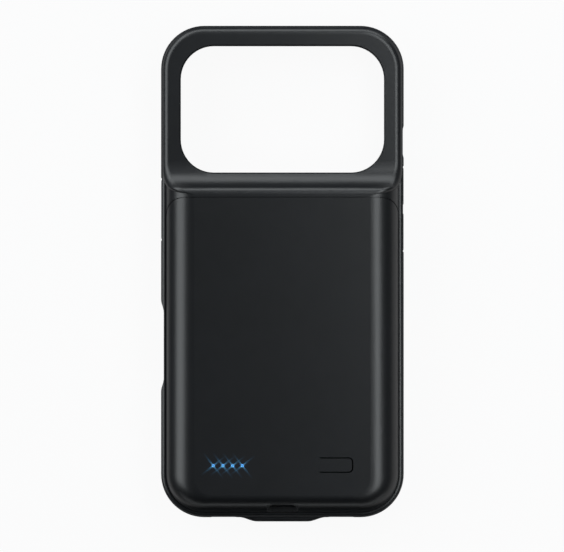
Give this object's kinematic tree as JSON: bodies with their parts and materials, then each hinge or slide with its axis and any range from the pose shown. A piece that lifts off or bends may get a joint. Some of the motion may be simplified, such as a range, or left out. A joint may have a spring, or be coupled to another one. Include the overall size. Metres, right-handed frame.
{
  "type": "phone battery charging case",
  "caption": "Black clip-on case with a rounded battery back, camera window, wall keys, status key, charge lights and an inner plug, for charging the phone it holds.",
  "frame": {"origin": "under the middle of the whole case, chin included, on the plane of its front rim", "axes": "+X to the right as seen from the back, +Y to the camera end, +Z out of the back; the case lies on its front rim"},
  "size_m": [0.0762, 0.1556, 0.0197],
  "materials": {
    "frame_plastic": "satin black moulded polycarbonate",
    "cover_plastic": "satin black moulded polycarbonate",
    "key_plastic": "satin black moulded polycarbonate",
    "clear_guide": "clear moulded acrylic lit from below",
    "led_body": "clear resin over a blue lamp",
    "circuit_board": "green solder mask",
    "black_moulding": "matt black filled resin",
    "coil_ferrite": "matt grey ferrite",
    "capacitor_body": "tan fired body",
    "steel": "plain stainless steel",
    "amber_film": "amber film over copper",
    "black_tape": "black foam tape",
    "pouch_foil": "dull foil laminate",
    "nickel": "plain nickel strip",
    "red_wire": "soft red insulation",
    "black_wire": "soft black insulation"
  },
  "bodies": {
    "case": {"phone_frame": "frame_plastic", "battery_cover": "cover_plastic", "light_guide": "clear_guide", "status_leds": "led_body", "switch_body": "black_moulding", "charge_board": "circuit_board", "charge_chip": "black_moulding", "power_coil": "coil_ferrite", "board_capacitors": "capacitor_body", "board_screws": "steel", "charge_port_shell": "steel", "charge_port_tongue": "black_moulding", "phone_plug_shell": "steel", "phone_plug_core": "black_moulding", "plug_board": "circuit_board", "plug_ribbon": "amber_film", "cell_tape": "black_tape", "battery_cell": "pouch_foil", "protection_board": "circuit_board", "cell_tabs": "nickel", "lead_plus": "red_wire", "lead_minus": "black_wire"},
    "status_button": {"status_key": "cover_plastic"},
    "switch_stem": {"switch_plunger": "black_moulding"},
    "volume_up": {"volume_up_key": "key_plastic"},
    "volume_down": {"volume_down_key": "key_plastic"},
    "side_button": {"side_key": "key_plastic"}
  },
  "joints": [
    {"name": "status_press", "type": "hinge", "parent": "case", "child": "status_button", "pos_m": [0.01172, -0.05992, 0.0191], "axis": [0, 1, 0], "range_deg": [0, 1.6], "stiffness_Nm_per_rad": 0.3},
    {"name": "switch_press", "type": "slide", "parent": "case", "child": "switch_stem", "axis": [0, 0, -1], "range_m": [0, 0.00028]},
    {"name": "volume_up_press", "type": "slide", "parent": "case", "child": "volume_up", "axis": [-1, 0, 0], "range_m": [0, 0.0003], "stiffness_N_per_m": 1500},
    {"name": "volume_down_press", "type": "slide", "parent": "case", "child": "volume_down", "axis": [-1, 0, 0], "range_m": [0, 0.0003], "stiffness_N_per_m": 1500},
    {"name": "side_press", "type": "slide", "parent": "case", "child": "side_button", "axis": [1, 0, 0], "range_m": [0, 0.0003], "stiffness_N_per_m": 1500}
  ],
  "couplings": [
    {"joint": "switch_press", "follows": "status_press", "m_per_rad": 0.0093}
  ]
}
